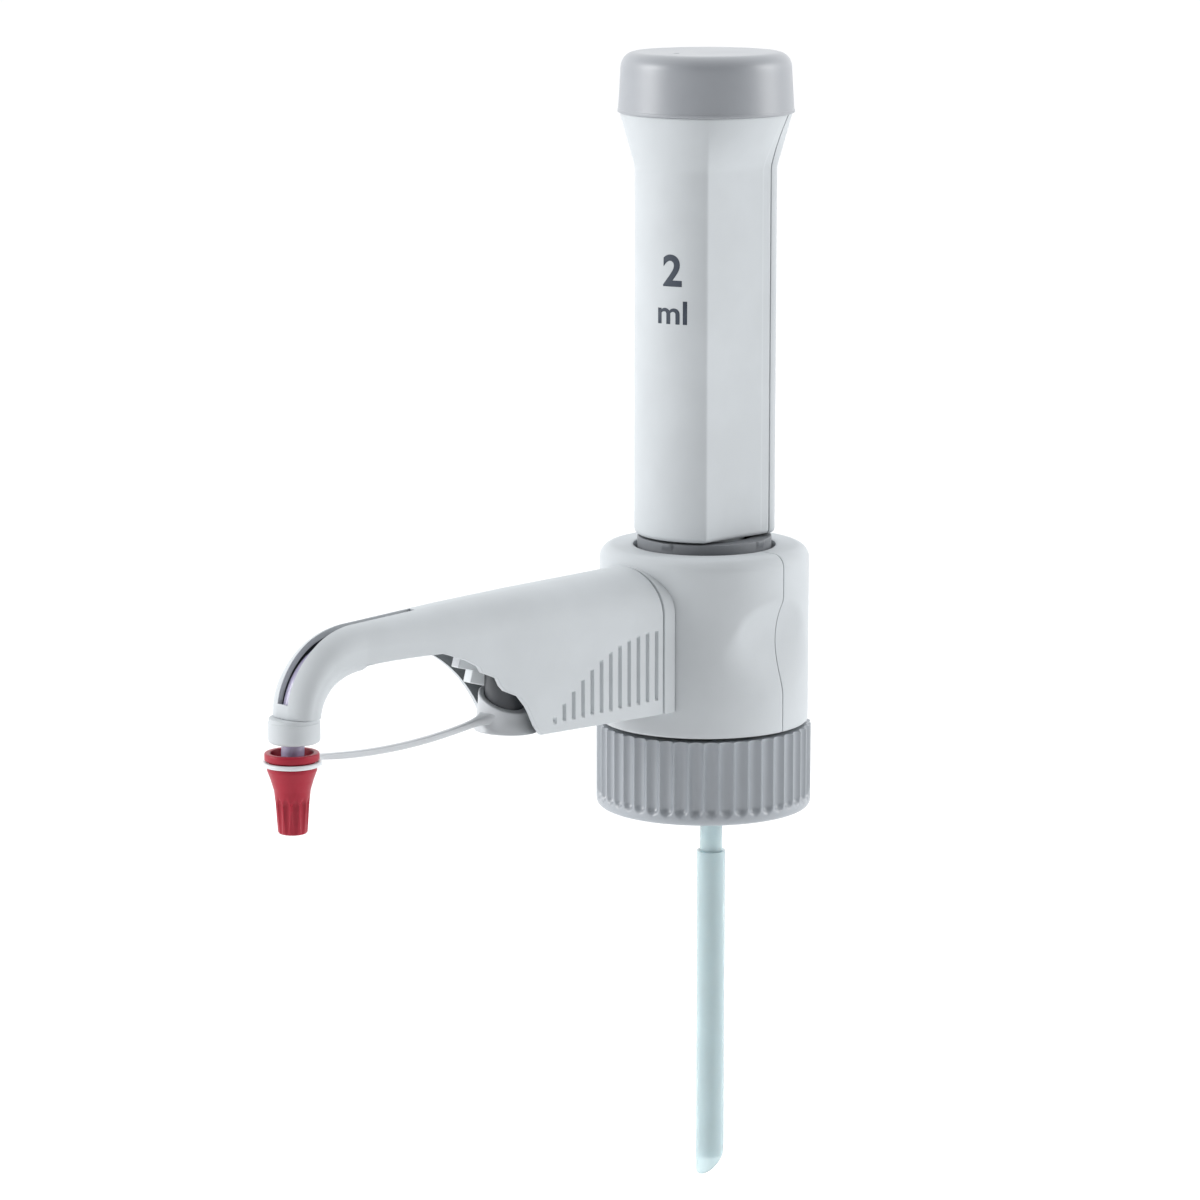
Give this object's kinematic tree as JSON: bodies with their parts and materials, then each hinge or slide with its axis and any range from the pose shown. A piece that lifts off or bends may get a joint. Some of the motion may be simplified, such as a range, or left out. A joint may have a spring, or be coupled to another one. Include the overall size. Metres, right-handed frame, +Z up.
{
  "type": "bottle top dispenser",
  "caption": "Fixed-volume piston dispenser that screws onto a GL 45 bottle, with a turning valve head, lifting handle, discharge arm, strapped nozzle cap and telescopic filling tube.",
  "frame": {"origin": "centre of the washer's lower face, which rests on the bottle's rim", "axes": "+Z up the cylinder, -Y along the discharge arm to the nozzle, +X to the right seen from the nozzle's end"},
  "size_m": [0.0566, 0.1757, 0.3006],
  "materials": {
    "grey_ribbed": "fine satin moulding",
    "washer_rubber": "smooth",
    "block_fluoropolymer": "waxy satin",
    "pale_shell": "fine satin moulding",
    "dark_plastic": "satin",
    "borosilicate": "clear and polished",
    "seal_ptfe": "waxy",
    "sleeve_plastic": "smooth",
    "valve_plastic": "satin",
    "ceramic": "polished",
    "blue_tube": "translucent, faintly blue",
    "spring_metal": "drawn wire",
    "lilac_tube": "translucent, faintly lilac",
    "white_insert": "satin",
    "white_strap": "waxy, flexible",
    "red_cap": "satin moulding",
    "rod_metal": "turned",
    "grey_cap": "satin moulding"
  },
  "bodies": {
    "ring": {"bottle_ring": "grey_ribbed", "rim_washer": "washer_rubber"},
    "head": {"valve_block": "block_fluoropolymer", "housing_front": "pale_shell", "housing_rear": "pale_shell", "guide_collar": "dark_plastic", "glass_cylinder": "borosilicate", "cylinder_seal": "seal_ptfe", "guide_sleeve": "sleeve_plastic", "filling_valve": "valve_plastic", "filling_seal": "seal_ptfe", "filling_cage": "valve_plastic", "filling_tube": "blue_tube", "discharge_valve": "valve_plastic", "discharge_spring": "spring_metal", "arm_base": "pale_shell", "arm_cover": "pale_shell", "discharge_tube": "lilac_tube", "nozzle_collar": "pale_shell", "strap_post": "dark_plastic", "tube_guide": "white_insert", "strap_clip": "white_strap", "strap": "white_strap"},
    "plunger": {"handle_front": "pale_shell", "handle_rear": "pale_shell", "guide_bush": "dark_plastic", "piston_rod": "rod_metal", "piston": "seal_ptfe", "rod_carrier": "dark_plastic", "calibration_nut": "rod_metal", "top_cap": "grey_cap"},
    "intake_ball": {"filling_ball": "ceramic"},
    "outlet_ball": {"discharge_ball": "ceramic"},
    "suction_tube": {"lower_tube": "blue_tube"},
    "strap_ring": {"strap_loop": "white_strap"},
    "tip_cap": {"nozzle_cap": "red_cap"}
  },
  "joints": [
    {"name": "head_swivel", "type": "hinge", "parent": "ring", "child": "head", "pos_m": [0, 0, 0.0045], "axis": [0, 0, 1], "continuous": true},
    {"name": "handle_lift", "type": "slide", "parent": "head", "child": "plunger", "axis": [0, 0, 1], "range_m": [0, 0.07]},
    {"name": "intake_ball_lift", "type": "slide", "parent": "head", "child": "intake_ball", "axis": [0, 0, 1], "range_m": [0, 0.001]},
    {"name": "outlet_ball_push", "type": "slide", "parent": "head", "child": "outlet_ball", "axis": [0, -1, 0], "range_m": [0, 0.001], "stiffness_N_per_m": 60, "springref_m": -0.001, "deforming": ["discharge_spring"]},
    {"name": "tube_telescope", "type": "slide", "parent": "head", "child": "suction_tube", "axis": [0, 0, -1], "range_m": [-0.018, 0.07]},
    {"name": "cap_pull", "type": "slide", "parent": "head", "child": "strap_ring", "axis": [0, 0, -1], "range_m": [0, 0.022], "deforming": ["strap"]},
    {"name": "cap_turn", "type": "hinge", "parent": "strap_ring", "child": "tip_cap", "pos_m": [0, -0.14, 0.01445], "axis": [0, 0, 1], "continuous": true}
  ]
}
